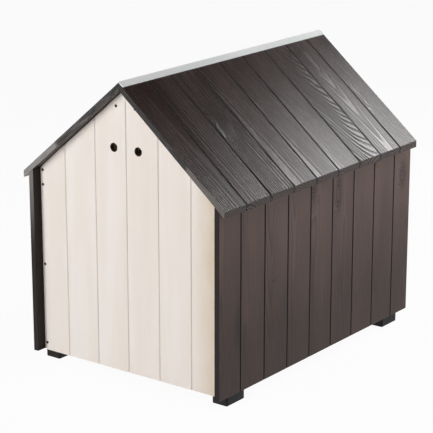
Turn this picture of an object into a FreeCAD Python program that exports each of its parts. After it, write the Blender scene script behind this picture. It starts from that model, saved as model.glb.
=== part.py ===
import FreeCAD, Part
import math
import os
import re
import Sketcher

# A small wooden dog house: two dark side walls and a pitched roof of tongue and groove
# boards, two pale gable walls between them, a floor on bearers and four moulded feet.
# Frame: +Z up, +Y towards the closed back gable, origin on the ground under the centre.
# Left is +X and right is -X, as seen by someone who faces the back gable.

SIZES = {
    # tongue and groove board
    "board_cover": 88.0,
    "board_thickness": 12.0,
    "tongue_reach": 7.0,
    "tongue_thickness": 4.0,
    "tongue_drop": 4.0,
    "joint_gap": 0.6,
    "joint_fit": 0.2,
    "vee_leg": 1.5,
    # how many boards each panel has, and how far its row of joints is shifted lengthways
    "wall_boards": 9,
    "wall_row_shift": 2.2,
    "roof_boards": 9,
    "roof_row_shift": 1.1,
    "floor_boards": 8,
    "gable_boards": 6,
    # shell
    "wall_length": 767.0,
    "house_width": 532.0,
    "roof_pitch": 40.0,
    "ridge_height": 685.1,
    "eave_overhang": 15.0,
    "verge_overhang": 1.1,
    "gable_recess": 21.3,
    "gable_side_gap": 0.5,
    "gable_top_gap": 1.5,
    # openings
    "doorway_width": 240.0,
    "doorway_head_drop": 24.0,
    "sill_rise": 20.0,
    "vent_diameter": 20.0,
    "vent_spacing": 68.0,
    "vent_drop": 134.4,
    # floor and frame
    "bearer_width": 34.0,
    "bearer_height": 35.0,
    "floor_gap": 0.5,
    "batten_width": 20.0,
    "corner_batten_depth": 30.0,
    "rail_height": 24.3,
    "gable_batten_height": 30.0,
    "gable_batten_thickness": 20.0,
    "purlin_width": 30.0,
    "purlin_depth": 30.0,
    "purlin_offset": 32.0,
    # ridge cap
    "cap_flange": 14.0,
    "cap_thickness": 2.0,
    "cap_inset": 1.1,
    # feet
    "foot_height": 23.4,
    "foot_length": 64.4,
    "foot_width": 40.7,
    "foot_end_inset": 35.8,
    "foot_side_inset": 5.0,
    "foot_corner": 4.0,
    "foot_chamfer": 1.5,
    # screws
    "screw_head": 7.0,
    "screw_head_depth": 2.4,
    "screw_shank": 3.5,
    "screw_length": 35.0,
    "screw_tip": 4.0,
    "screw_fit": 0.1,
    "screw_edge_inset": 10.0,
    "top_screw_drop": 12.7,
    "batten_screw_drop": 14.0,
    "middle_screw_rise": 160.0,
    "foot_screw_inset": 14.0,
    "foot_screw_recess": 6.0,
}

# Places that follow from the sizes, each written in the sizes' own names.
DERIVED = {
    "side_face": "(house_width / 2)",
    "wall_inside": "(house_width / 2 - board_thickness)",
    "wall_end": "(wall_length / 2)",
    "roof_end": "(wall_length / 2 + verge_overhang)",
    "roof_drop": "(board_thickness / cos(roof_pitch))",
    "under_ridge": "(ridge_height - board_thickness / cos(roof_pitch))",
    "gable_face": "(wall_length / 2 - gable_recess)",
    "gable_inside": "(wall_length / 2 - gable_recess - board_thickness)",
    "gable_edge": "(house_width / 2 - board_thickness - gable_side_gap)",
    "frame_side": "(house_width / 2 - board_thickness - batten_width)",
    "bearer_side": "(house_width / 2 - board_thickness - bearer_width)",
    "bearer_top": "(foot_height + bearer_height)",
    "floor_top": "(foot_height + bearer_height + board_thickness)",
    "rail_bottom": "(ridge_height - board_thickness / cos(roof_pitch) - rail_height"
                   " - (house_width / 2 - board_thickness) * tan(roof_pitch))",
    "groove_depth": "(tongue_reach - joint_gap + joint_fit)",
}

ABOVE = "2 * ridge_height"      # a height well clear of the whole house
SCREW_SIDES = 12                # sides of a screw's section
SCREW_POINT = 0.4               # radius left at a screw's tip
PARTS = []                      # the finished sub-parts, in the order they are written


def spelled(text):
    """Write an expression with derived places opened up and each size read from the sheet."""
    def place(match):
        word = match.group()
        if word in DERIVED:
            return spelled(DERIVED[word])
        return "Sizes." + word if word in SIZES else word
    return re.sub(r"[a-z_][a-z_0-9]*", place, text)


def value(text):
    """The number that an expression has with the sheet's present sizes."""
    return float(SHEET.evalExpression(spelled(text)))


def count(name):
    return round(value(name))


def bind(item, prop, text):
    """Tie one property of an object to the sheet."""
    item.setExpression(prop, spelled(text))


def make_sheet(doc):
    sheet = doc.addObject("Spreadsheet::Sheet", "Sizes")
    for row, (alias, number) in enumerate(SIZES.items(), 1):
        sheet.set(f"A{row}", alias)
        sheet.set(f"B{row}", str(number))
        sheet.setAlias(f"B{row}", alias)
    doc.recompute()
    return sheet


def finish(item, label):
    """Name a finished sub-part and put it on the list of nodes."""
    item.Label = label
    PARTS.append(item)
    return item


def new_body(name):
    return DOC.addObject("PartDesign::Body", name)


def new_sketch(body, plane, suffix):
    """An empty sketch on one of the body's own origin planes."""
    sketch = body.newObject("Sketcher::SketchObject", body.Name + "_" + suffix)
    planes = {feature.Role: feature for feature in body.Origin.OriginFeatures}
    sketch.AttachmentSupport = (planes[plane + "_Plane"], [""])
    sketch.MapMode = "FlatFace"
    return sketch


def pin_down(sketch, edge, point, across, up):
    """Hold one point of a sketch edge at two bound distances from the origin."""
    for kind, text in (("DistanceX", across), ("DistanceY", up)):
        index = sketch.addConstraint(
            Sketcher.Constraint(kind, -1, 1, edge, point, value(text)))
        bind(sketch, f"Constraints[{index}]", text)


def draw_outline(sketch, corners):
    """A closed outline of straight edges through corners given as two expressions each."""
    spots = [FreeCAD.Vector(value(across), value(up), 0) for across, up in corners]
    edges = len(corners)
    for index in range(edges):
        sketch.addGeometry(Part.LineSegment(spots[index], spots[(index + 1) % edges]))
    for index in range(edges):
        sketch.addConstraint(Sketcher.Constraint("Coincident", index, 2, (index + 1) % edges, 1))
    for index, (across, up) in enumerate(corners):
        pin_down(sketch, index, 1, across, up)


def draw_circle(sketch, across, up, diameter):
    circle = Part.Circle(FreeCAD.Vector(value(across), value(up), 0),
                         FreeCAD.Vector(0, 0, 1), value(diameter) / 2)
    edge = sketch.addGeometry(circle)
    pin_down(sketch, edge, 3, across, up)
    index = sketch.addConstraint(Sketcher.Constraint("Diameter", edge, value(diameter)))
    bind(sketch, f"Constraints[{index}]", diameter)


def add_pad(body, sketch, length, both_ways=False):
    pad = body.newObject("PartDesign::Pad", body.Name + "_pad")
    pad.Profile = sketch
    pad.Midplane = both_ways
    bind(pad, "Length", length)
    return pad


def cut_through(body, sketch):
    """A pocket through everything on both sides of the sketch."""
    pocket = body.newObject("PartDesign::Pocket", sketch.Name + "_cut")
    pocket.Profile = sketch
    pocket.Type = "ThroughAll"
    pocket.Midplane = True
    return pocket


def turn_half(item):
    """Turn a finished panel piece half round the house's upright centre line."""
    item.Placement = FreeCAD.Placement(FreeCAD.Vector(), FreeCAD.Rotation(FreeCAD.Vector(0, 0, 1), 180))


# ---------------------------------------------------------------- boards

def board_section(start, end, has_groove, has_tongue):
    """Corners of a tongue and groove board as (across the panel, inwards from its face)."""
    corners = []
    left, right = start, end
    if has_groove:
        left = f"({start} + joint_gap / 2)"
        corners += [(left, "vee_leg"), (f"{left} + vee_leg", "0")]
    else:
        corners += [(left, "0")]
    if has_tongue:
        right = f"({end} - joint_gap / 2)"
        tip = f"{right} + tongue_reach"
        corners += [(f"{right} - vee_leg", "0"), (right, "vee_leg"), (right, "tongue_drop"),
                    (tip, "tongue_drop"), (tip, "tongue_drop + tongue_thickness"),
                    (right, "tongue_drop + tongue_thickness")]
    else:
        corners += [(right, "0")]
    corners += [(right, "board_thickness"), (left, "board_thickness")]
    if has_groove:
        floor = f"{left} + groove_depth"
        back, front = "tongue_drop + tongue_thickness + joint_fit", "tongue_drop - joint_fit"
        corners += [(left, back), (floor, back), (floor, front), (left, front)]
    return corners


def row_of_joints(length, boards, shift="0"):
    """Where the boards of a centred panel begin and end: whole ones, and what is left at the ends."""
    whole = count(boards) - 2
    first = f"({shift} - {whole} * board_cover / 2)"
    joints = [f"({first} + {number} * board_cover)" for number in range(whole + 1)]
    return [f"(-({length}) / 2)"] + joints + [f"(({length}) / 2)"]


def panel_boards(name, joints, make_board):
    """Make every board between two joints of a panel and name it by its number."""
    last = len(joints) - 2
    for number in range(last + 1):
        corners = board_section(joints[number], joints[number + 1], number > 0, number < last)
        make_board(f"{name}_{number + 1}", corners)


def make_wall_board(name, corners, turned):
    """An upright board of a side wall, its top bevelled to the underside of the roof."""
    body = new_body(name)
    section = new_sketch(body, "XY", "section")
    draw_outline(section, [(f"side_face - ({inwards})", across) for across, inwards in corners])
    bind(section, "AttachmentOffset.Base.z", "foot_height")
    add_pad(body, section, "ridge_height - foot_height")
    bevel = new_sketch(body, "XZ", "bevel")
    draw_outline(bevel, [
        ("frame_side", "under_ridge - frame_side * tan(roof_pitch)"),
        ("side_face + batten_width", "under_ridge - (side_face + batten_width) * tan(roof_pitch)"),
        ("side_face + batten_width", ABOVE), ("frame_side", ABOVE)])
    cut_through(body, bevel)
    if turned:
        turn_half(body)
    finish(body, name)


def make_side_walls():
    joints = row_of_joints("wall_length", "wall_boards", "wall_row_shift")
    for side, turned in (("left", False), ("right", True)):
        panel_boards(f"{side}_wall_board", joints,
                     lambda name, corners: make_wall_board(name, corners, turned))


def make_roof_board(name, corners, turned):
    """A roof board from the ridge mitre to the plumb cut at the eave."""
    body = new_body(name)
    section = new_sketch(body, "YZ", "section")
    draw_outline(section, [(across, f"ridge_height - ({inwards}) / cos(roof_pitch)")
                           for across, inwards in corners])
    pad = add_pad(body, section, "side_face + eave_overhang")
    pad.UseCustomVector = True
    pad.AlongSketchNormal = True
    pad.Direction = (1, 0, -1)
    bind(pad, "Direction.z", "-tan(roof_pitch)")
    if turned:
        turn_half(body)
    finish(body, name)


def make_roof():
    joints = row_of_joints("2 * roof_end", "roof_boards", "roof_row_shift")
    for side, turned in (("left", False), ("right", True)):
        panel_boards(f"{side}_roof_board", joints,
                     lambda name, corners: make_roof_board(name, corners, turned))


def gable_spans():
    """Start and end of each gable board; the last one keeps its tongue beside the wall."""
    joints = row_of_joints("2 * gable_edge", "gable_boards")
    spans = list(zip(joints, joints[1:]))
    return spans[:-1] + [(joints[-2], "(gable_edge - tongue_reach)")]


def cut_gable_top(body):
    """Cut a gable board along both slopes, a little under the roof boards."""
    reach = "(side_face + batten_width)"
    slopes = new_sketch(body, "XZ", "slopes")
    low = f"under_ridge - gable_top_gap - {reach} * tan(roof_pitch)"
    draw_outline(slopes, [(f"-{reach}", low), ("0", "under_ridge - gable_top_gap"),
                          (reach, low), (reach, ABOVE), (f"-{reach}", ABOVE)])
    cut_through(body, slopes)


def cut_vent(body, across):
    vent = new_sketch(body, "XZ", "vent")
    draw_circle(vent, across, "under_ridge - vent_drop", "vent_diameter")
    cut_through(body, vent)


def draw_doorway(sketch, sill):
    """A round-headed doorway: two jambs, a sill and a half circle between the jambs' tops."""
    half = "(doorway_width / 2)"
    spring = "rail_bottom - doorway_head_drop - doorway_width / 2"
    draw = FreeCAD.Vector
    reach, low, high = value(half), value(sill), value(spring)
    for start, end in ((draw(-reach, high), draw(-reach, low)),
                       (draw(-reach, low), draw(reach, low)),
                       (draw(reach, low), draw(reach, high))):
        sketch.addGeometry(Part.LineSegment(start, end))
    crown = Part.Circle(draw(0, high), draw(0, 0, 1), reach)
    sketch.addGeometry(Part.ArcOfCircle(crown, 0, math.pi))
    for edge, end, other, start in ((0, 2, 1, 1), (1, 2, 2, 1), (2, 2, 3, 1), (3, 2, 0, 1)):
        sketch.addConstraint(Sketcher.Constraint("Coincident", edge, end, other, start))
    pin_down(sketch, 1, 1, f"-{half}", sill)
    pin_down(sketch, 2, 1, half, sill)
    pin_down(sketch, 3, 3, "0", spring)
    sketch.addConstraint(Sketcher.Constraint("Vertical", 2))
    sketch.addConstraint(Sketcher.Constraint("Horizontal", 3, 1, 3, 3))
    sketch.addConstraint(Sketcher.Constraint("Horizontal", 3, 2, 3, 3))


def cut_doorway(body, sill):
    doorway = new_sketch(body, "XZ", "doorway")
    draw_doorway(doorway, sill)
    cut_through(body, doorway)


def gable_blank(name, corners, length):
    """An upright board of the back gable, before its top is cut."""
    body = new_body(name)
    section = new_sketch(body, "XY", "section")
    draw_outline(section, [(across, f"gable_face - ({inwards})") for across, inwards in corners])
    bind(section, "AttachmentOffset.Base.z", "foot_height")
    add_pad(body, section, length)
    return body


def gable_corners(spans):
    last = len(spans) - 1
    for number, (start, end) in enumerate(spans):
        # the last board keeps its tongue, which shows beside the left wall
        stop = end if number < last else f"({end} + joint_gap / 2)"
        yield number, board_section(start, stop, number > 0, True)


def make_back_gable(spans):
    for number, corners in gable_corners(spans):
        body = gable_blank(f"back_board_{number + 1}_blank", corners, "ridge_height - foot_height")
        cut_gable_top(body)
        centre = "(vent_spacing / 2)"
        for across in (f"-{centre}", centre):
            start, end = spans[number]
            if value(start) < value(across) < value(end):
                cut_vent(body, across)
        drilled(body, f"back_board_{number + 1}")


def make_front_gable(spans):
    """The back gable's panel turned round, with a doorway: boards inside it are cut in two."""
    half_door = value("doorway_width / 2")
    sill_pieces = 0
    for number, corners in gable_corners(spans):
        start, end = (value(text) for text in spans[number])
        body = gable_blank(f"front_board_{number + 1}_blank", corners, "ridge_height - foot_height")
        cut_gable_top(body)
        inside = -half_door < start and end < half_door
        if inside:
            cut_doorway(body, "0")
        elif start < half_door and end > -half_door:
            cut_doorway(body, "floor_top + sill_rise")
        turn_half(body)
        drilled(body, f"front_board_{number + 1}")
        if inside:
            sill_pieces += 1
            sill = gable_blank(f"front_sill_board_{sill_pieces}", corners,
                               "floor_top + sill_rise - foot_height")
            turn_half(sill)
            finish(sill, sill.Name)


# ---------------------------------------------------------------- screws

def size(name):
    return float(getattr(SHEET, name))


def ring(radius, height):
    """A regular polygon for one station of a screw; few sides are enough at this size."""
    turns = [2 * math.pi * side / SCREW_SIDES for side in range(SCREW_SIDES + 1)]
    return Part.makePolygon([
        FreeCAD.Vector(radius * math.cos(turn), radius * math.sin(turn), height) for turn in turns])


def screw_body(fit, well=0):
    """A countersunk screw along +Z with its head's top at the origin, or the hole for one."""
    head, shank = size("screw_head") / 2 + fit, size("screw_shank") / 2 + fit
    end = size("screw_length") + fit
    stations = [(head, 0), (shank, size("screw_head_depth") + fit),
                (shank, end - size("screw_tip")), (fit + SCREW_POINT, end)]
    if well:
        stations.insert(0, (head, -well))
    return Part.makeLoft([ring(radius, height) for radius, height in stations], True, True)


def screw_places():
    """Head centre and inward direction of every screw, for the gables and then the feet."""
    edge = value("wall_inside - screw_edge_inset")
    face = value("gable_face")
    top = value("under_ridge - (wall_inside - screw_edge_inset) * tan(roof_pitch) - top_screw_drop")
    heights = (value("foot_height + bearer_height / 2"), value("floor_top + middle_screw_rise"),
               value("rail_bottom - batten_screw_drop"), top)
    along = value("purlin_offset + purlin_width / 2")
    deep = value("purlin_depth / 2")
    pitch = math.radians(value("roof_pitch"))
    apex = (along * math.cos(pitch) - deep * math.sin(pitch),
            value("under_ridge") - along * math.sin(pitch) - deep * math.cos(pitch))
    spots = [(edge, height) for height in heights] + [apex]
    places = []
    for across, height in spots:
        for side in (1, -1):
            for end in (1, -1):
                places.append((FreeCAD.Vector(side * across, end * face, height),
                               FreeCAD.Vector(0, -end, 0)))
    inset = value("foot_screw_inset")
    bearer_middle = value("wall_inside - bearer_width / 2")
    outer = value("wall_end - foot_end_inset")
    for lengthways in (outer - inset, outer - value("foot_length") + inset):
        for side in (1, -1):
            for end in (1, -1):
                places.append((FreeCAD.Vector(side * bearer_middle, end * lengthways,
                                              value("foot_screw_recess")),
                               FreeCAD.Vector(0, 0, 1)))
    return places


def set_at(pattern, spot, inwards):
    copy = pattern.copy()
    copy.Placement = FreeCAD.Placement(spot, FreeCAD.Rotation(FreeCAD.Vector(0, 0, 1), inwards))
    return copy


def make_screws():
    pattern = screw_body(0)
    screws = DOC.addObject("Part::Feature", "screws")
    screws.Shape = Part.makeCompound([set_at(pattern, *place) for place in screw_places()])
    finish(screws, "screws")


def screw_holes():
    """The clearance that each screw needs; a foot has a well below the screw's head."""
    plain = screw_body(size("screw_fit"))
    with_well = screw_body(size("screw_fit"), size("foot_screw_recess"))
    return [set_at(with_well if inwards.z else plain, spot, inwards)
            for spot, inwards in screw_places()]


def drilled(blank, label):
    """Cut the holes of the screws that reach a piece out of it, if any do."""
    DOC.recompute()
    near = [hole for hole in HOLES if hole.BoundBox.intersect(blank.Shape.BoundBox)]
    if not near:
        return finish(blank, label)
    tool = DOC.addObject("Part::Feature", label + "_holes")
    tool.Shape = Part.makeCompound(near)
    cut = DOC.addObject("Part::Cut", label)
    cut.Base = blank
    cut.Tool = tool
    return finish(cut, label)


# ---------------------------------------------------------------- frame and floor

def make_block(name, low, high):
    """A square-edged piece between two corners given as expressions."""
    block = DOC.addObject("Part::Box", name)
    for prop, index in (("Length", 0), ("Width", 1), ("Height", 2)):
        bind(block, prop, f"({high[index]}) - ({low[index]})")
    for axis, text in zip("xyz", low):
        bind(block, f"Placement.Base.{axis}", text)
    return block


def gather(name, pieces):
    group = DOC.addObject("Part::Compound", name)
    group.Links = pieces
    return group


def mirrored_span(side, near, far):
    """Low and high ends of a span on one side of the centre plane."""
    return (near, far) if side > 0 else (f"-({far})", f"-({near})")


def make_floor_frame():
    """Two bearers along the walls on the feet, and three across between them."""
    sides = []
    for side, name in ((1, "left"), (-1, "right")):
        low, high = mirrored_span(side, "bearer_side", "wall_inside")
        sides.append(make_block(f"{name}_bearer", (low, "-gable_inside", "foot_height"),
                                (high, "gable_inside", "bearer_top")))
    drilled(gather("side_bearers_blank", sides), "side_bearers")
    across = []
    middles = {"back": "gable_inside - corner_batten_depth / 2", "middle": "0",
               "front": "corner_batten_depth / 2 - gable_inside"}
    for name, middle in middles.items():
        across.append(make_block(
            f"{name}_cross_bearer",
            ("-bearer_side", f"{middle} - corner_batten_depth / 2", "foot_height"),
            ("bearer_side", f"{middle} + corner_batten_depth / 2", "bearer_top")))
    finish(gather("cross_bearers", across), "cross_bearers")


def make_floor():
    """Tongue and groove boards laid from wall to wall on the bearers."""
    joints = row_of_joints("2 * (gable_inside - floor_gap)", "floor_boards")
    boards = []

    def lay(name, corners):
        body = new_body(name)
        section = new_sketch(body, "YZ", "section")
        draw_outline(section, [(across, f"floor_top - ({inwards})") for across, inwards in corners])
        add_pad(body, section, "2 * (wall_inside - floor_gap)", both_ways=True)
        boards.append(body)

    panel_boards("floor_board", joints, lay)
    finish(gather("floor_boards", boards), "floor_boards")


def make_corner_battens():
    battens = []
    for side in (1, -1):
        for end in (1, -1):
            low_x, high_x = mirrored_span(side, "frame_side", "wall_inside")
            low_y, high_y = mirrored_span(end, "gable_inside - corner_batten_depth", "gable_inside")
            battens.append(make_block(f"corner_batten_{len(battens) + 1}",
                                      (low_x, low_y, "floor_top"), (high_x, high_y, "rail_bottom")))
    drilled(gather("corner_battens_blank", battens), "corner_battens")


def make_long_piece(name, corners, turned):
    """A piece of constant section that runs from gable to gable."""
    body = new_body(name)
    section = new_sketch(body, "XZ", "section")
    draw_outline(section, corners)
    add_pad(body, section, "2 * gable_inside", both_ways=True)
    if turned:
        turn_half(body)
    return body


def make_wall_rails():
    """Rails along the tops of the side walls, bevelled to carry the roof boards."""
    corners = [("frame_side", "rail_bottom"), ("wall_inside", "rail_bottom"),
               ("wall_inside", "under_ridge - wall_inside * tan(roof_pitch)"),
               ("frame_side", "under_ridge - frame_side * tan(roof_pitch)")]
    rails = [make_long_piece("left_wall_rail", corners, False),
             make_long_piece("right_wall_rail", corners, True)]
    drilled(gather("wall_rails_blank", rails), "wall_rails")


def slope_point(along, deep):
    """A point so far down the underside of the roof, and so far in from it."""
    return (f"({along}) * cos(roof_pitch) - ({deep}) * sin(roof_pitch)",
            f"under_ridge - ({along}) * sin(roof_pitch) - ({deep}) * cos(roof_pitch)")


def make_ridge_purlins():
    near, far = "purlin_offset", "purlin_offset + purlin_width"
    corners = [slope_point(near, "0"), slope_point(far, "0"),
               slope_point(far, "purlin_depth"), slope_point(near, "purlin_depth")]
    purlins = [make_long_piece("left_ridge_purlin", corners, False),
               make_long_piece("right_ridge_purlin", corners, True)]
    drilled(gather("ridge_purlins_blank", purlins), "ridge_purlins")


def make_gable_battens():
    """A batten inside each gable at the height of the eaves."""
    battens = []
    for end, name in ((1, "back"), (-1, "front")):
        low, high = mirrored_span(end, "gable_inside - gable_batten_thickness", "gable_inside")
        battens.append(make_block(f"{name}_gable_batten", ("-frame_side", low, "rail_bottom"),
                                  ("frame_side", high, "rail_bottom + gable_batten_height")))
    finish(gather("gable_battens", battens), "gable_battens")


# ---------------------------------------------------------------- ridge cap and feet

def make_ridge_cap():
    """A thin angle bent to the roof's two slopes."""
    body = new_body("ridge_cap")
    section = new_sketch(body, "XZ", "section")
    reach = "(cap_flange * cos(roof_pitch))"
    slope = "tan(roof_pitch)"
    rise = "(cap_thickness * cos(roof_pitch))"
    out = "(cap_thickness * sin(roof_pitch))"
    low = f"ridge_height - {reach} * {slope}"
    draw_outline(section, [
        ("0", "ridge_height"), (reach, low), (f"{reach} + {out}", f"{low} + {rise}"),
        ("0", "ridge_height + cap_thickness / cos(roof_pitch)"),
        (f"-{reach} - {out}", f"{low} + {rise}"), (f"-{reach}", low)])
    add_pad(body, section, "2 * (roof_end - cap_inset)", both_ways=True)
    finish(body, "ridge_cap")


def upright_edges(shape):
    return [f"Edge{index}" for index, edge in enumerate(shape.Edges, 1)
            if abs(edge.tangentAt(edge.FirstParameter).z) > 1 - 1e-6]


def ground_edges(shape):
    low = shape.BoundBox.ZMin
    return [f"Edge{index}" for index, edge in enumerate(shape.Edges, 1)
            if edge.BoundBox.ZMax - low < 1e-6]


def make_foot(name, side, end):
    """A moulded block with rounded corners and a softened lower edge."""
    body = new_body(name)
    plan = new_sketch(body, "XY", "plan")
    low_x, high_x = mirrored_span(side, "side_face - foot_side_inset - foot_width",
                                  "side_face - foot_side_inset")
    low_y, high_y = mirrored_span(end, "wall_end - foot_end_inset - foot_length",
                                  "wall_end - foot_end_inset")
    draw_outline(plan, [(low_x, low_y), (high_x, low_y), (high_x, high_y), (low_x, high_y)])
    pad = add_pad(body, plan, "foot_height")
    DOC.recompute()
    rounded = body.newObject("PartDesign::Fillet", name + "_corners")
    rounded.Base = (pad, upright_edges(pad.Shape))
    bind(rounded, "Radius", "foot_corner")
    DOC.recompute()
    softened = body.newObject("PartDesign::Chamfer", name + "_lower_edge")
    softened.Base = (rounded, ground_edges(rounded.Shape))
    bind(softened, "Size", "foot_chamfer")
    return body


def make_feet():
    feet = [make_foot(f"{end_name}_{side_name}_foot", side, end)
            for end, end_name in ((1, "back"), (-1, "front"))
            for side, side_name in ((1, "left"), (-1, "right"))]
    drilled(gather("feet_blank", feet), "feet")


# ---------------------------------------------------------------- check and write

def check_document():
    DOC.recompute()
    for item in DOC.Objects:
        bad = {"Invalid", "Error"} & set(item.State)
        if bad:
            raise RuntimeError(f"{item.Label}: {sorted(bad)}")
    for part in PARTS:
        if part.Shape.isNull() or not part.Shape.isValid() or not part.Shape.Solids:
            raise RuntimeError(f"{part.Label}: shape is not valid")


def write_parts():
    os.makedirs("parts", exist_ok=True)
    for part in PARTS:
        part.Shape.exportStep(f"parts/{part.Label}.step")
    solids = sum(len(part.Shape.Solids) for part in PARTS)
    print(f"{len(PARTS)} nodes, {solids} solids")


DOC = FreeCAD.newDocument("DogHouse")
SHEET = make_sheet(DOC)
HOLES = screw_holes()
SPANS = gable_spans()
make_back_gable(SPANS)
make_front_gable(SPANS)
make_side_walls()
make_roof()
make_ridge_cap()
make_floor_frame()
make_floor()
make_corner_battens()
make_wall_rails()
make_ridge_purlins()
make_gable_battens()
make_feet()
make_screws()
check_document()
write_parts()
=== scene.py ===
import math
import random
from collections import namedtuple
import bpy
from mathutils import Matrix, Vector


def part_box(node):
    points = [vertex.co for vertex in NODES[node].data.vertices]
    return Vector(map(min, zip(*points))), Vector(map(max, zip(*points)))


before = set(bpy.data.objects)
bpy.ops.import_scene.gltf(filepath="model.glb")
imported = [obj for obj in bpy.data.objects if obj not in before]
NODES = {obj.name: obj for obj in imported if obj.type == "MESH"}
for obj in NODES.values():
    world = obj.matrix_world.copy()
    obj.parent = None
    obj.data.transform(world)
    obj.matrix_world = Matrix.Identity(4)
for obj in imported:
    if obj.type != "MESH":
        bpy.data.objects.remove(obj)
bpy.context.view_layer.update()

# The house in metres: +Z up, +Y towards the pale back gable that the photograph shows.
MM = 0.001
PITCH = math.radians(40)
WALL_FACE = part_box("right_wall_board_1")[0].x
WALL_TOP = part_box("right_wall_board_1")[1].z
GABLE_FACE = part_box("back_board_1")[1].y
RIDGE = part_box("right_roof_board_1")[1].z
FLOOR_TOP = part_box("floor_boards")[1].z
VENT_X = 0.034
VENT_Z = RIDGE - 0.150
VENT_RADIUS = 0.010
VENT_FADE = 0.4 * MM

# small bevels on the edges of the boards, of the frame inside and of the trim
BOARD_BEVEL = 0.4 * MM
FRAME_BEVEL = 0.5 * MM
TRIM_BEVEL = 0.3 * MM
BEVEL_ANGLE = math.radians(35)
WELD_REACH = 0.01 * MM


# ---------------------------------------------------------------- node trees

class Tree:
    """Builds one node tree; every method takes numbers or sockets and returns a socket."""

    def __init__(self, tree):
        self.tree = tree

    def node(self, kind, **settings):
        made = self.tree.nodes.new(kind)
        for name, setting in settings.items():
            setattr(made, name, setting)
        return made

    def put(self, socket, source):
        """Link a socket or set a number or colour; nothing is done for None."""
        if isinstance(source, bpy.types.NodeSocket):
            self.tree.links.new(source, socket)
        elif source is not None:
            socket.default_value = source

    def math(self, operation, first, second=None):
        made = self.node("ShaderNodeMath", operation=operation)
        for socket, source in zip(made.inputs, (first, second)):
            self.put(socket, source)
        return made.outputs[0]

    def add(self, *terms):
        total = terms[0]
        for term in terms[1:]:
            total = self.math("ADD", total, term)
        return total

    def times(self, *factors):
        total = factors[0]
        for factor in factors[1:]:
            total = self.math("MULTIPLY", total, factor)
        return total

    def less(self, first, second):
        return self.math("SUBTRACT", first, second)

    def larger(self, first, second):
        return self.math("MAXIMUM", first, second)

    def length(self, first, second):
        """The straight distance over two steps that are square to each other."""
        return self.math("SQRT", self.add(self.math("POWER", first, 2.0),
                                          self.math("POWER", second, 2.0)))

    def vector(self, operation, first, second, out=0):
        made = self.node("ShaderNodeVectorMath", operation=operation)
        self.put(made.inputs[0], first)
        self.put(made.inputs[1], second)
        return made.outputs[out]

    def dot(self, first, second):
        return self.vector("DOT_PRODUCT", first, second, "Value")

    def combine(self, x, y, z):
        made = self.node("ShaderNodeCombineXYZ")
        for socket, source in zip(made.inputs, (x, y, z)):
            self.put(socket, source)
        return made.outputs[0]

    def split(self, vector):
        made = self.node("ShaderNodeSeparateXYZ")
        self.put(made.inputs[0], vector)
        return made.outputs

    def step(self, source, low, high, to_low=0.0, to_high=1.0, smooth=True):
        """Map a range of the source onto another, held at both ends."""
        made = self.node("ShaderNodeMapRange", clamp=True,
                         interpolation_type="SMOOTHSTEP" if smooth else "LINEAR")
        for socket, given in zip(made.inputs, (source, low, high, to_low, to_high)):
            self.put(socket, given)
        return made.outputs[0]

    def mix(self, share, first, second):
        """Blend two numbers."""
        made = self.node("ShaderNodeMix", data_type="FLOAT")
        self.put(made.inputs["Factor"], share)
        self.put(made.inputs[2], first)
        self.put(made.inputs[3], second)
        return made.outputs[0]

    def blend(self, share, first, second):
        """Blend two colours."""
        made = self.node("ShaderNodeMix", data_type="RGBA")
        self.put(made.inputs["Factor"], share)
        self.put(made.inputs[6], first)
        self.put(made.inputs[7], second)
        return made.outputs[2]

    def noise(self, vector, scale=1.0, detail=2.0, roughness=0.5):
        made = self.node("ShaderNodeTexNoise", noise_dimensions="3D")
        self.put(made.inputs["Vector"], vector)
        self.put(made.inputs["Scale"], scale)
        self.put(made.inputs["Detail"], detail)
        self.put(made.inputs["Roughness"], roughness)
        return made.outputs["Fac"]

    def bell(self, across, along, wide, tall):
        """A smooth hill of height one over a spot in the across and along directions."""
        spread = self.add(self.math("POWER", self.math("DIVIDE", across, wide), 2.0),
                          self.math("POWER", self.math("DIVIDE", along, tall), 2.0))
        return self.math("EXPONENT", self.times(spread, -1.0))


def rgb(red, green, blue):
    """A colour as seen on a screen, 0 to 255, turned to the linear values that shaders use."""
    def linear(level):
        share = level / 255
        return share / 12.92 if share <= 0.04045 else ((share + 0.055) / 1.055) ** 2.4
    return (linear(red), linear(green), linear(blue), 1.0)


def shader(name):
    """A new material with its tree, shader node and object coordinates."""
    material = bpy.data.materials.new(name)
    material.use_nodes = True
    tree = Tree(material.node_tree)
    principled = material.node_tree.nodes["Principled BSDF"]
    place = tree.node("ShaderNodeTexCoord").outputs["Object"]
    return material, tree, principled, place


def add_bump(tree, principled, height, distance):
    """Bump the surface, so that a height of one stands out by the distance."""
    bump = tree.node("ShaderNodeBump")
    bump.inputs["Distance"].default_value = distance
    tree.put(bump.inputs["Height"], height)
    tree.put(principled.inputs["Normal"], bump.outputs[0])


# ---------------------------------------------------------------- wood

PLANK_INPUTS = (
    ("Across", 0.0), ("Depth", 0.0), ("Along", 0.0), ("Seed", 0.0),
    ("Pith Across", 0.0), ("Pith Depth", 0.04), ("Lean Across", 0.0), ("Lean Depth", 0.0),
    ("Ring", 0.003), ("Wander", 0.006),
    ("Swell Across", 0.0), ("Swell Along", 9.0), ("Swell Width", 0.03), ("Swell Length", 0.06),
    ("Swell Height", 0.0),
    ("Knot Across", 0.0), ("Knot Along", 9.0), ("Knot Size", 0.006),
)
PLANK_OUTPUTS = ("Late", "Ridge", "Fibre", "Tone", "Knot", "Blotch", "Branch")
Wood = namedtuple("Wood", "late ridge fibre tone knot blotch branch")

# cycles a metre of the patterns in the wood, across a board and along it
FIBRE = (900.0, 26.0)
TONE = (16.0, 2.2)
BLOTCH = (34.0, 17.0)
WOBBLE = (30.0, 5.0)
WOBBLE_REACH = 0.0035
# cycles a metre, along the board, of the pith's drift across it and into it
PITH_DRIFT = (2.6, 2.1)


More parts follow.
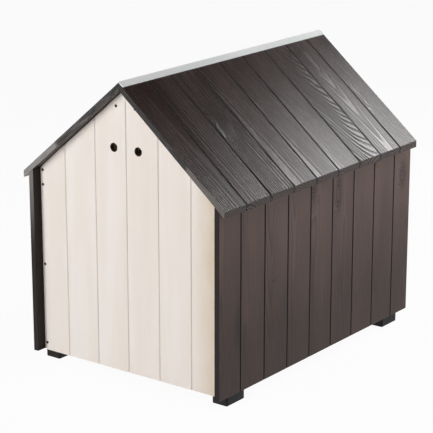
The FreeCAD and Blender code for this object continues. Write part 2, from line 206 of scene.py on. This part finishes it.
def plank_group():
    """Growth rings round a leaning pith, as solid wood has them, with fibres, tone and a knot."""
    group = bpy.data.node_groups.new("plank", "ShaderNodeTree")
    for name, default in PLANK_INPUTS:
        socket = group.interface.new_socket(name, in_out="INPUT", socket_type="NodeSocketFloat")
        socket.default_value = default
    for name in PLANK_OUTPUTS:
        group.interface.new_socket(name, in_out="OUTPUT", socket_type="NodeSocketFloat")
    t = Tree(group)
    given = t.node("NodeGroupInput").outputs
    across, depth, along, seed = (given[n] for n in ("Across", "Depth", "Along", "Seed"))

    def grain(cycles, **settings):
        """A noise that is drawn out along the board."""
        fine, drawn_out = cycles
        return t.noise(t.combine(t.times(across, fine), t.add(t.times(depth, fine), seed),
                                 t.times(along, drawn_out)), **settings)

    # the pith leans, and wanders slowly along the board; here and below, the fixed numbers
    # beside the seed only pick another part of the noise
    drift_across = t.noise(t.combine(seed, 3.1, t.times(along, PITH_DRIFT[0])), detail=1)
    drift_depth = t.noise(t.combine(7.7, seed, t.times(along, PITH_DRIFT[1])), detail=1)
    pith_across = t.add(given["Pith Across"], t.times(along, given["Lean Across"]),
                        t.times(t.less(drift_across, 0.5), given["Wander"]))
    pith_depth = t.add(given["Pith Depth"], t.times(along, given["Lean Depth"]),
                       t.times(t.less(drift_depth, 0.5), given["Wander"]))
    radius = t.length(t.less(across, pith_across), t.less(depth, pith_depth))

    # rings bulge over a hidden branch, and round a knot that shows
    swell = t.bell(t.less(across, given["Swell Across"]), t.less(along, given["Swell Along"]),
                   given["Swell Width"], given["Swell Length"])
    knot_across = t.less(across, given["Knot Across"])
    knot_along = t.less(along, given["Knot Along"])
    size = given["Knot Size"]
    round_knot = t.bell(knot_across, knot_along, t.times(size, 2.0), t.times(size, 3.2))
    knot_radius = t.length(knot_across, t.times(knot_along, 0.7))
    in_knot = t.step(knot_radius, t.times(size, 0.8), t.times(size, 1.1), 1.0, 0.0)
    wobble = t.less(grain(WOBBLE, detail=2), 0.5)
    grown = t.add(radius, t.times(swell, given["Swell Height"]),
                  t.times(round_knot, size, 2.2), t.times(wobble, WOBBLE_REACH))

    # each ring darkens slowly to its hard late wood and ends sharply; years differ in width
    rings = t.math("DIVIDE", grown, given["Ring"])
    uneven = t.noise(t.combine(t.times(rings, 0.35), seed, 1.3), detail=1)
    phase = t.math("FRACT", t.add(rings, t.times(uneven, 1.6)))
    late = t.times(t.step(phase, 0.35, 0.88), t.step(phase, 0.94, 1.0, 1.0, 0.0))
    ridge = t.times(t.step(phase, 0.40, 0.70), t.step(phase, 0.70, 1.0, 1.0, 0.0))
    late = t.mix(in_knot, late, 0.5)
    ridge = t.mix(in_knot, ridge, 0.2)

    fibre = grain(FIBRE, detail=3, roughness=0.65)
    tone = grain(TONE, detail=3)
    blotch = t.noise(t.combine(t.times(across, BLOTCH[0]), t.add(seed, 4.0),
                               t.times(along, BLOTCH[1])), detail=4, roughness=0.6)
    out = t.node("NodeGroupOutput").inputs
    for socket, source in zip(out, (late, ridge, fibre, tone, in_knot, blotch, swell)):
        t.put(socket, source)
    return group


PLANK = plank_group()


class Axes:
    """The directions of a board: across its face, inwards from its face, and along it."""

    def __init__(self, across, depth, along, origin):
        self.across, self.depth, self.along = Vector(across), Vector(depth), Vector(along)
        self.origin = Vector(origin)


def plank_coordinates(t, place, axes):
    """How far across, into and along a board each point lies."""
    offset = t.vector("SUBTRACT", place, tuple(axes.origin))
    return [t.dot(offset, tuple(way)) for way in (axes.across, axes.depth, axes.along)]


def add_plank(t, place, axes, figure):
    """The plank group, fed with a board's own coordinates and figure."""
    made = t.node("ShaderNodeGroup", node_tree=PLANK)
    for name, source in zip(("Across", "Depth", "Along"), plank_coordinates(t, place, axes)):
        t.put(made.inputs[name], source)
    for name, given in figure.items():
        made.inputs[name].default_value = given
    return Wood(*(made.outputs[name] for name in PLANK_OUTPUTS))


# the least and the greatest width of a year's ring
PLAIN_RING = (0.0026, 0.0034)
ROOF_RING = (0.0040, 0.0050)


def board_figure(name, widths=PLAIN_RING, **own):
    """A board's rings drawn from its name, with any value that is given."""
    draw = random.Random(name)
    figure = {
        "Seed": draw.uniform(0, 60),
        "Pith Across": draw.choice((-1, 1)) * draw.uniform(0.020, 0.070),
        "Pith Depth": draw.choice((-1, 1)) * draw.uniform(0.030, 0.080),
        "Lean Across": draw.uniform(-0.015, 0.015),
        "Lean Depth": draw.uniform(-0.02, 0.02),
        "Ring": draw.uniform(*widths),
        "Wander": draw.uniform(0.006, 0.016),
    }
    figure.update({key.replace("_", " ").title(): given for key, given in own.items()})
    return figure


# ---------------------------------------------------------------- where on a board

# cosines from which a face counts partly, and fully, as looking along a direction
SQUARE_ON = (0.6, 0.8)
CHAMFER_OUT = (0.15, 0.25)
CHAMFER_SIDEWAYS = (0.50, 0.60)
# how near to a face's plane a corner counts as part of it
ON_FACE = 0.1 * MM


def true_normal(t):
    """The direction that a face looks in, without its bumps."""
    return t.node("ShaderNodeNewGeometry").outputs["True Normal"]


def looks_along(t, direction):
    """One on faces whose outside points along the direction, and zero on the rest."""
    return t.step(t.dot(true_normal(t), tuple(direction)), *SQUARE_ON)


def facing(t, direction):
    """One on faces that look along the direction, whichever way round."""
    return t.step(t.math("ABSOLUTE", t.dot(true_normal(t), tuple(direction))), *SQUARE_ON)


def face_edges(name, axes):
    """How far a board's outer face reaches across, to either side of its origin."""
    offsets = [vertex.co - axes.origin for vertex in NODES[name].data.vertices]
    reach = [way.dot(axes.across) for way in offsets if abs(way.dot(axes.depth)) < ON_FACE]
    return min(reach), max(reach)


def near_edge(t, place, axes, edges, width):
    """One at the long edges of a board's face, fading to zero within a width."""
    across = plank_coordinates(t, place, axes)[0]
    distance = t.math("MINIMUM", t.less(across, edges[0]), t.less(edges[1], across))
    return t.step(distance, 0.3 * width, width, 1.0, 0.0)


def in_groove(t, axes):
    """One on the chamfers along a board's long edges, which look out and sideways."""
    normal = true_normal(t)
    outward = t.dot(normal, tuple(-axes.depth))
    sideways = t.math("ABSOLUTE", t.dot(normal, tuple(axes.across)))
    return t.times(t.step(outward, *CHAMFER_OUT), t.step(sideways, *CHAMFER_SIDEWAYS))


def in_vent(t, place):
    """One on the walls of the two round holes, which the paint brush doesn't reach; they take bare
    wood, painted dark as shade.
    """
    x, _, z = t.split(place)
    distance = t.length(t.less(t.math("ABSOLUTE", x), VENT_X), t.less(z, VENT_Z))
    inside = t.step(distance, VENT_RADIUS, VENT_RADIUS + VENT_FADE, 1.0, 0.0)
    return t.times(inside, t.less(1.0, facing(t, (0, 1, 0))))


# ---------------------------------------------------------------- finishes of the wood

ROOF = {
    "dark": rgb(43, 27, 24), "light": rgb(62, 41, 37), "line": rgb(12, 8, 7),
    "branch": rgb(30, 23, 21), "knot": rgb(18, 13, 12), "groove": rgb(8, 6, 5),
    "end_early": rgb(78, 64, 60), "end_late": rgb(22, 15, 14),
}
WALL = {
    "dark": rgb(61, 44, 40), "light": rgb(108, 87, 81), "line": rgb(52, 39, 36),
    "fibre": rgb(100, 84, 79), "branch": rgb(24, 15, 13), "knot": rgb(36, 27, 24),
    "groove": rgb(26, 18, 16), "inside": rgb(38, 28, 26),
}
PAINT = {
    "thin": rgb(232, 222, 213), "full": rgb(238, 231, 226), "line": rgb(214, 200, 182),
    "knot": rgb(206, 186, 160), "edge": rgb(208, 188, 158), "bare_and_shade": rgb(96, 72, 46),
}
BARE = {
    "dark": rgb(214, 184, 140), "light": rgb(228, 202, 162), "line": rgb(184, 142, 92),
    "fibre": rgb(196, 160, 112), "knot": rgb(112, 72, 42),
}
ROOF_JOINT_SHADE = 1.6 * MM                # how far the painted shade of a joint reaches onto a roof board's face, and below onto a wall board's
WALL_JOINT_SHADE = 1.2 * MM
ROOF_END_HIGHLIGHT = (0.235, 0.250)          # stretch down the slope below which the verge's end face takes more of its painted highlight
PAINTED_LIGHT_FROM = 0.12                # height from which a wall is painted lighter upwards, as painted light
WALL_END_HIGHLIGHT_FROM = 0.25               # height from which the painted highlight on the end of a wall grows towards its top
# how far the bumps stand out
WALL_RELIEF, PAINT_RELIEF, BARE_RELIEF = 0.30 * MM, 0.10 * MM, 0.12 * MM
CAP_RELIEF, FOOT_RELIEF = 0.03 * MM, 0.10 * MM


def roof_stain(name, axes, figure, relief, end_highlight=None):
    """Brushed board under a nearly black stain: the hard rings stand up and shine."""
    material, t, principled, place = shader("roof_stain_" + name)
    wood = add_plank(t, place, axes, figure)
    strength = t.step(wood.tone, 0.25, 0.70, 0.4, 1.0)
    line = t.times(wood.late, strength)
    end = facing(t, axes.along)
    edge = near_edge(t, place, axes, face_edges(name, axes), ROOF_JOINT_SHADE)

    colour = t.blend(t.step(wood.tone, 0.3, 0.7), ROOF["dark"], ROOF["light"])
    colour = t.blend(t.times(line, 0.9), colour, ROOF["line"])
    colour = t.blend(t.times(wood.branch, 0.6), colour, ROOF["branch"])
    colour = t.blend(t.times(wood.knot, 0.8), colour, ROOF["knot"])
    end_grain = t.blend(t.step(wood.late, 0.1, 0.7), ROOF["end_early"], ROOF["end_late"])
    colour = t.blend(end, colour, end_grain)
    # painted shade: the chamfers of the joints and the face beside them go near black
    colour = t.blend(t.larger(in_groove(t, axes), edge), colour, ROOF["groove"])
    # painted highlight on the sawn end faces, stronger down the slope and broken up by the fibres
    if end_highlight:
        down = plank_coordinates(t, place, axes)[2]
        highlight_share = t.add(t.step(wood.fibre, 0.35, 0.70), t.step(down, *ROOF_END_HIGHLIGHT, -0.30, 0.60))
        highlight_share = t.times(facing(t, axes.across), t.larger(highlight_share, 0.0))
        colour = t.blend(highlight_share, colour, end_highlight)
    t.put(principled.inputs["Base Color"], colour)

    shine = t.add(0.17, t.times(wood.tone, 0.08), t.times(wood.fibre, 0.10), t.times(line, 0.15),
                  t.times(t.larger(edge, end), 0.45), t.times(wood.branch, 0.05))
    t.put(principled.inputs["Roughness"], shine)
    principled.inputs["Specular IOR Level"].default_value = 0.5
    height = t.add(t.times(wood.ridge, strength, 0.7), t.times(wood.fibre, 0.10),
                   t.times(wood.blotch, 0.25))
    add_bump(t, principled, height, relief)
    return material


def wall_stain(name, axes, figure, end_highlight=None):
    """Planed board under brown stain, a little lighter than the roof and less shiny."""
    material, t, principled, place = shader("wall_stain_" + name)
    wood = add_plank(t, place, axes, figure)
    up = plank_coordinates(t, place, axes)[2]
    # painted light: the stain turns lighter from this height up to the top of the wall
    painted_top_light = t.step(up, PAINTED_LIGHT_FROM, WALL_TOP, smooth=False)
    tone = t.add(t.times(wood.tone, 0.6), t.times(painted_top_light, 0.55))
    edge = near_edge(t, place, axes, face_edges(name, axes), WALL_JOINT_SHADE)
    branch = t.times(t.step(wood.branch, 0.1, 0.8), t.add(0.30, t.times(wood.late, 0.7)))

    colour = t.blend(t.step(tone, 0.2, 0.90), WALL["dark"], WALL["light"])
    colour = t.blend(t.times(wood.late, 0.40), colour, WALL["line"])
    colour = t.blend(t.times(t.step(wood.fibre, 0.45, 0.75), 0.30), colour, WALL["fibre"])
    colour = t.blend(branch, colour, WALL["branch"])
    colour = t.blend(t.times(wood.knot, 0.7), colour, WALL["knot"])
    # painted shade: the chamfers of the joints and the face beside them go dark
    colour = t.blend(t.larger(in_groove(t, axes), edge), colour, WALL["groove"])
    # inner faces take the stain and are painted darker still, as painted shade inside the house
    colour = t.blend(looks_along(t, axes.depth), colour, WALL["inside"])
    # painted highlight on the sawn end face, growing towards the top of the wall
    if end_highlight:
        highlight_share = t.times(t.step(up, WALL_END_HIGHLIGHT_FROM, WALL_TOP), t.add(0.5, t.times(wood.fibre, 0.6)))
        colour = t.blend(t.times(facing(t, axes.across), highlight_share), colour, end_highlight)
    t.put(principled.inputs["Base Color"], colour)

    shine = t.add(0.38, t.times(tone, 0.14), t.times(wood.blotch, 0.10))
    t.put(principled.inputs["Roughness"], shine)
    principled.inputs["Specular IOR Level"].default_value = 0.22
    height = t.add(t.times(wood.ridge, 0.55), t.times(wood.fibre, 0.35),
                   t.times(wood.blotch, 0.25))
    add_bump(t, principled, height, WALL_RELIEF)
    return material


def gable_paint(name, axes, figure, edge_tint=None):
    """Cream paint over planed board: the grain hardly shows, and the tone shifts softly."""
    material, t, principled, place = shader("gable_paint_" + name)
    wood = add_plank(t, place, axes, figure)
    colour = t.blend(t.step(wood.tone, 0.25, 0.75), PAINT["thin"], PAINT["full"])
    colour = t.blend(t.times(wood.late, 0.05), colour, PAINT["line"])
    colour = t.blend(t.times(wood.knot, 0.25), colour, PAINT["knot"])
    # the board turns darker and yellower towards one edge
    if edge_tint:
        sideways = plank_coordinates(t, place, axes)[0]
        thin = t.times(t.step(sideways, *edge_tint), t.add(0.35, t.times(wood.blotch, 0.7)))
        colour = t.blend(thin, colour, PAINT["edge"])
    # the walls of the vents: bare wood, painted darker as painted shade inside the holes
    colour = t.blend(in_vent(t, place), colour, PAINT["bare_and_shade"])
    t.put(principled.inputs["Base Color"], colour)
    t.put(principled.inputs["Roughness"], t.add(0.46, t.times(wood.blotch, 0.12)))
    principled.inputs["Specular IOR Level"].default_value = 0.255
    height = t.add(t.times(wood.ridge, 0.25), t.times(wood.fibre, 0.25), t.times(wood.blotch, 0.3))
    add_bump(t, principled, height, PAINT_RELIEF)
    return material


def bare_wood(name, axes, figure):
    """Planed softwood as it comes, for the frame and floor inside."""
    material, t, principled, place = shader("bare_wood_" + name)
    wood = add_plank(t, place, axes, figure)
    colour = t.blend(t.step(wood.tone, 0.3, 0.7), BARE["dark"], BARE["light"])
    colour = t.blend(t.times(wood.late, 0.5), colour, BARE["line"])
    colour = t.blend(t.times(t.step(wood.fibre, 0.5, 0.8), 0.2), colour, BARE["fibre"])
    colour = t.blend(wood.knot, colour, BARE["knot"])
    t.put(principled.inputs["Base Color"], colour)
    t.put(principled.inputs["Roughness"], t.add(0.55, t.times(wood.blotch, 0.15)))
    height = t.add(t.times(wood.ridge, 0.4), t.times(wood.fibre, 0.4))
    add_bump(t, principled, height, BARE_RELIEF)
    return material


# ---------------------------------------------------------------- other materials

# cycles a metre of the cap's patterns, across the ridge and along it
CAP_STREAK = (1500.0, 12.0)
CAP_TONE = (20.0, 5.0)
# cycles a metre, the same every way
FOOT_GRAIN, FOOT_PATCH, SCREW_PATCH = 1400.0, 40.0, 900.0


def cap_metal():
    """Strip of white-coated metal with fine lengthways streaks."""
    material, t, principled, place = shader("cap_metal")
    x, y, z = t.split(place)
    fine, drawn_out = CAP_STREAK
    streak = t.noise(t.combine(t.times(x, fine), t.times(y, drawn_out), t.times(z, fine)))
    tone = t.noise(t.combine(t.times(x, CAP_TONE[0]), t.times(y, CAP_TONE[1]), 0.0))
    t.put(principled.inputs["Base Color"],
          t.blend(t.step(tone, 0.3, 0.7), rgb(228, 232, 230), rgb(240, 240, 240)))
    t.put(principled.inputs["Roughness"], t.add(0.30, t.times(streak, 0.2)))
    add_bump(t, principled, streak, CAP_RELIEF)
    return material


def foot_plastic():
    """Moulded black plastic with a fine grain."""
    material, t, principled, place = shader("foot_plastic")
    grain = t.noise(place, FOOT_GRAIN)
    patch = t.noise(place, FOOT_PATCH)
    t.put(principled.inputs["Base Color"], t.blend(patch, rgb(12, 11, 11), rgb(24, 22, 21)))
    t.put(principled.inputs["Roughness"], t.add(0.48, t.times(patch, 0.14)))
    principled.inputs["Specular IOR Level"].default_value = 0.25
    add_bump(t, principled, grain, FOOT_RELIEF)
    return material


def screw_steel():
    """Black phosphated steel."""
    material, t, principled, place = shader("screw_steel")
    patch = t.noise(place, SCREW_PATCH)
    t.put(principled.inputs["Base Color"], t.blend(patch, rgb(20, 19, 18), rgb(44, 42, 40)))
    principled.inputs["Metallic"].default_value = 0.7
    t.put(principled.inputs["Roughness"], t.add(0.38, t.times(patch, 0.2)))
    return material


# ---------------------------------------------------------------- boards with a look of their own

# The rest of the boards take all their rings from their names.
ROOF_FIGURES = {
    # a fan of rings beside a knot near the back of the slope
    "right_roof_board_3": dict(
        pith_across=-0.05, pith_depth=0.03, lean_depth=0.03, ring=0.0050,
        knot_across=0.036, knot_along=0.150, knot_size=0.005,
        swell_across=0.022, swell_along=0.185, swell_width=0.018,
        swell_length=0.030, swell_height=0.016),
    # straight grain that leans across the board, on the third beside a hidden branch
    "right_roof_board_4": dict(pith_across=0.06, pith_depth=0.04, lean_across=-0.09, lean_depth=0),
    "right_roof_board_5": dict(pith_across=0.07, pith_depth=0.03, lean_across=-0.10, lean_depth=0),
    "right_roof_board_6": dict(
        pith_across=0.08, pith_depth=0.03, lean_across=-0.12, lean_depth=0,
        swell_across=-0.036, swell_along=0.20, swell_width=0.02,
        swell_length=0.04, swell_height=0.010),
    # nested arches that open on the next board
    "right_roof_board_7": dict(
        pith_across=-0.050, pith_depth=0.035, lean_across=0, lean_depth=0.26,
        ring=0.0062, wander=0.020,
        swell_across=0.012, swell_along=0.20, swell_width=0.022,
        swell_length=0.060, swell_height=0.006),
    # few wide rings down the middle, in points
    "right_roof_board_8": dict(
        pith_across=0.004, pith_depth=0.012, lean_across=0, lean_depth=0.05,
        ring=0.0046, wander=0.024),
    # a knot near the edge of the board
    "right_roof_board_9": dict(
        pith_across=0.055, pith_depth=0.03, lean_across=-0.02,
        knot_across=0.038, knot_along=0.225, knot_size=0.006,
        swell_across=0.034, swell_along=0.20, swell_width=0.011,
        swell_length=0.040, swell_height=0.012),
}
# small dark figures over hidden branches, and one knot
WALL_FIGURES = {
    "right_wall_board_1": dict(
        swell_across=-0.035, swell_along=0.17, swell_width=0.025,
        swell_length=0.06, swell_height=0.014),
    "right_wall_board_3": dict(knot_across=0.015, knot_along=0.245, knot_size=0.003),
    "right_wall_board_5": dict(
        swell_across=0.040, swell_along=0.43, swell_width=0.018,
        swell_length=0.05, swell_height=0.026),
    "right_wall_board_6": dict(
        pith_across=0, pith_depth=0.035,
        swell_across=0.022, swell_along=0.385, swell_width=0.014,
        swell_length=0.050, swell_height=0.022),
    "right_wall_board_8": dict(
        swell_across=0.040, swell_along=0.46, swell_width=0.014,
        swell_length=0.04, swell_height=0.026),
    "right_wall_board_9": dict(
        swell_across=-0.005, swell_along=0.37, swell_width=0.018,
        swell_length=0.040, swell_height=0.022),
}
# how far the hard rings of the roof stand out after brushing
ROOF_RELIEF = 0.5 * MM
ROOF_RELIEFS = {
    "right_roof_board_1": 0.3 * MM, "right_roof_board_2": 0.3 * MM,
    "right_roof_board_3": 1.0 * MM, "right_roof_board_7": 1.5 * MM,
    "right_roof_board_8": 0.6 * MM,
}
# a board whose colour turns darker and yellower towards one edge, from and to this far across it
EDGE_TINTS = {"back_board_1": (0.050, -0.045)}
# colours of the painted highlight, broken up by the fibres, on the sawn edges that end the roof and
# the walls at the back
END_HIGHLIGHTS = {
    "left_roof_board_9": rgb(140, 136, 133),
    "right_roof_board_1": rgb(104, 97, 93),
    "left_wall_board_9": rgb(130, 124, 120),
}


# ---------------------------------------------------------------- dressing the frame

def dress(name, material, edge=0.0):
    """Give a CAD node its material, and soften its edges by a small bevel."""
    piece = NODES[name]
    piece.data.materials.clear()
    piece.data.materials.append(material)
    for polygon in piece.data.polygons:
        polygon.use_smooth = False
    weld = piece.modifiers.new("weld", "WELD")
    weld.merge_threshold = WELD_REACH
    if edge:
        bevel = piece.modifiers.new("edges", "BEVEL")
        bevel.width = edge
        bevel.segments = 1
        bevel.limit_method = "ANGLE"
        bevel.angle_limit = BEVEL_ANGLE
        bevel.use_clamp_overlap = True


def middle(name):
    """The middle of a piece's box."""
    low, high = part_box(name)
    return (low + high) / 2


def boards(prefix):
    """The names of a panel's boards."""
    return sorted(name for name in NODES if name.startswith(prefix))


def slope_axes(side, centre):
    """Axes of a roof board; side is -1 for the slope that the photograph shows."""
    cos, sin = math.cos(PITCH), math.sin(PITCH)
    return Axes((0, 1, 0), (-side * sin, 0, -cos), (side * cos, 0, -sin), (0, centre.y, RIDGE))


def dress_roof():
    for prefix, side in (("left_roof_board", 1), ("right_roof_board", -1)):
        for name in boards(prefix):
            figure = board_figure(name, ROOF_RING, **ROOF_FIGURES.get(name, {}))
            axes = slope_axes(side, middle(name))
            relief = ROOF_RELIEFS.get(name, ROOF_RELIEF)
            dress(name, roof_stain(name, axes, figure, relief, END_HIGHLIGHTS.get(name)), BOARD_BEVEL)


def dress_walls():
    for prefix, side in (("left_wall_board", 1), ("right_wall_board", -1)):
        for name in boards(prefix):
            axes = Axes((0, 1, 0), (-side, 0, 0), (0, 0, 1), (side * -WALL_FACE, middle(name).y, 0))
            figure = board_figure(name, **WALL_FIGURES.get(name, {}))
            dress(name, wall_stain(name, axes, figure, END_HIGHLIGHTS.get(name)), BOARD_BEVEL)


def dress_gables():
    for prefix, end in (("back_board", 1), ("front_board", -1), ("front_sill", -1)):
        for name in boards(prefix):
            axes = Axes((1, 0, 0), (0, -end, 0), (0, 0, 1), (middle(name).x, end * GABLE_FACE, 0))
            paint = gable_paint(name, axes, board_figure(name), EDGE_TINTS.get(name))
            dress(name, paint, BOARD_BEVEL)


def dress_frame():
    lengthways = Axes((1, 0, 0), (0, 0, -1), (0, 1, 0), (0, 0, FLOOR_TOP))
    crossways = Axes((0, 1, 0), (0, 0, -1), (1, 0, 0), (0, 0, FLOOR_TOP))
    upright = Axes((1, 0, 0), (0, 1, 0), (0, 0, 1), (0, 0, 0))
    for name, axes in (("side_bearers", lengthways), ("wall_rails", lengthways),
                       ("ridge_purlins", lengthways), ("floor_boards", crossways),
                       ("cross_bearers", crossways), ("gable_battens", crossways),
                       ("corner_battens", upright)):
        dress(name, bare_wood(name, axes, board_figure(name)), FRAME_BEVEL)


# ---------------------------------------------------------------- studio

FLOOR_REACH = 30.0
FLOOR_PALE = 0.8                    # how much light the floor gives back to the house
FLOOR_WHITE = 0.95                  # how much of it is plain white to camera and reflections
HORIZON = 0.65                      # strength of the studio wall
HORIZON_FRONT = 0.35 * HORIZON      # on the doorway's side
CEILING = 0.04
Lamp = namedtuple("Lamp", "name place target wide tall watts")
LAMPS = (
    # lights the closed gable
    Lamp("key", (0.9, 3.6, 1.4), (0, 0.3, 0.3), 2.8, 2.4, 112),
    # fills from above
    Lamp("top", (-0.9, 0.3, 3.2), (-0.2, 0, 0.4), 1.2, 1.2, 20),
    # lights the long wall that the photograph shows
    Lamp("low", (-1.7, -1.6, 0.75), (-0.25, 0, 0.4), 1.1, 0.6, 20),
    # is mirrored in the gloss of the slope that the photograph shows
    Lamp("back", (-1.0, -2.4, 1.78), (-0.2, 0, 0.45), 1.15, 0.88, 35),
)
# the photograph's view, found from the joints and corners that it shows
CAMERA_PLACE = (-2.3912, 3.2219, 1.4726)
CAMERA_AIM = (0.57645, -0.76754, -0.28033)
CAMERA_LENS = 148.43
CAMERA_SENSOR = 36.0


def add_floor():
    """A white floor that keeps a soft shadow and stays white to the camera and in reflections."""
    far = FLOOR_REACH
    mesh = bpy.data.meshes.new("floor")
    mesh.from_pydata([(-far, -far, 0), (far, -far, 0), (far, far, 0), (-far, far, 0)],
                     [], [(0, 1, 2, 3)])
    floor = bpy.data.objects.new("floor", mesh)
    bpy.context.scene.collection.objects.link(floor)
    material = bpy.data.materials.new("floor")
    material.use_nodes = True
    material.node_tree.nodes.clear()
    t = Tree(material.node_tree)
    diffuse = t.node("ShaderNodeBsdfDiffuse")
    diffuse.inputs["Color"].default_value = (FLOOR_PALE, FLOOR_PALE, FLOOR_PALE, 1)
    glow = t.node("ShaderNodeEmission")
    path = t.node("ShaderNodeLightPath").outputs
    seen = t.larger(path["Is Camera Ray"],
                    t.larger(path["Is Glossy Ray"], path["Is Transmission Ray"]))
    white = t.node("ShaderNodeMixShader")
    t.put(white.inputs[0], t.times(seen, FLOOR_WHITE))
    t.put(white.inputs[1], diffuse.outputs[0])
    t.put(white.inputs[2], glow.outputs[0])
    t.put(t.node("ShaderNodeOutputMaterial").inputs[0], white.outputs[0])
    mesh.materials.append(material)


def add_world():
    """A studio wall round the horizon that darkens upwards; the camera sees plain white."""
    world = bpy.data.worlds.new("studio")
    bpy.context.scene.world = world
    world.use_nodes = True
    t = Tree(world.node_tree)
    background = world.node_tree.nodes["Background"]
    _, behind, rise = t.split(t.node("ShaderNodeTexCoord").outputs["Generated"])
    wall = t.step(behind, -0.6, 0.5, HORIZON_FRONT, HORIZON)
    studio = t.mix(t.step(rise, 0.0, 0.55), wall, CEILING)
    camera = t.node("ShaderNodeLightPath").outputs["Is Camera Ray"]
    t.put(background.inputs["Strength"], t.mix(camera, studio, 1.0))


def stand(name, data, place, aim):
    """Put a lamp or camera in the scene, looking along its aim."""
    holder = bpy.data.objects.new(name, data)
    holder.location = place
    holder.rotation_euler = Vector(aim).to_track_quat("-Z", "Y").to_euler()
    bpy.context.scene.collection.objects.link(holder)
    return holder


def add_lamps():
    for lamp in LAMPS:
        area = bpy.data.lights.new(lamp.name, "AREA")
        area.shape = "RECTANGLE"
        area.size, area.size_y = lamp.wide, lamp.tall
        area.energy = lamp.watts
        stand(lamp.name, area, lamp.place, Vector(lamp.target) - Vector(lamp.place))


def add_camera():
    camera = bpy.data.cameras.new("camera")
    camera.sensor_width = CAMERA_SENSOR
    camera.lens = CAMERA_LENS
    bpy.context.scene.camera = stand("camera", camera, CAMERA_PLACE, CAMERA_AIM)


dress_roof()
dress_walls()
dress_gables()
dress_frame()
dress("ridge_cap", cap_metal(), TRIM_BEVEL)
dress("feet", foot_plastic(), TRIM_BEVEL)
dress("screws", screw_steel())
add_floor()
add_world()
add_lamps()
add_camera()
bpy.context.scene.view_settings.view_transform = "Standard"
